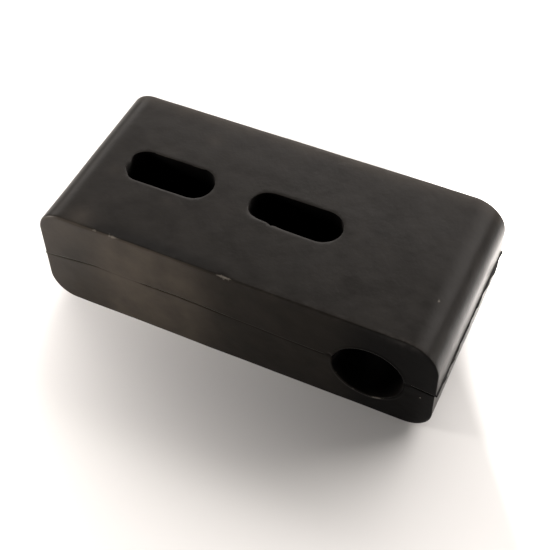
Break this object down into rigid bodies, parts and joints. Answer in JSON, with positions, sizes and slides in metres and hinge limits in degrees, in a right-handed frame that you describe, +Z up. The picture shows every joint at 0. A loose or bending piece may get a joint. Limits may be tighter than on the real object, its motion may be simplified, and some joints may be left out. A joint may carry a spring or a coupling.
{
  "type": "slotted rubber buffer block",
  "caption": "Moulded black rubber bump block with rounded ends, slots for hold-down screws through its height and a round cross bore near its nose.",
  "frame": {"origin": "centre of the flat base, on the surface that the block rests on or is screwed to", "axes": "+Z up, away from the mounting surface; +X along the block from the heel to the nose with the cross bore; +Y along the bore, completing a right-handed frame"},
  "size_m": [0.0604, 0.0276, 0.0178],
  "materials": {
    "black_rubber": "matte, moulded, lightly dusted"
  },
  "bodies": {
    "root": {"rubber_block": "black_rubber"}
  },
  "joints": []
}
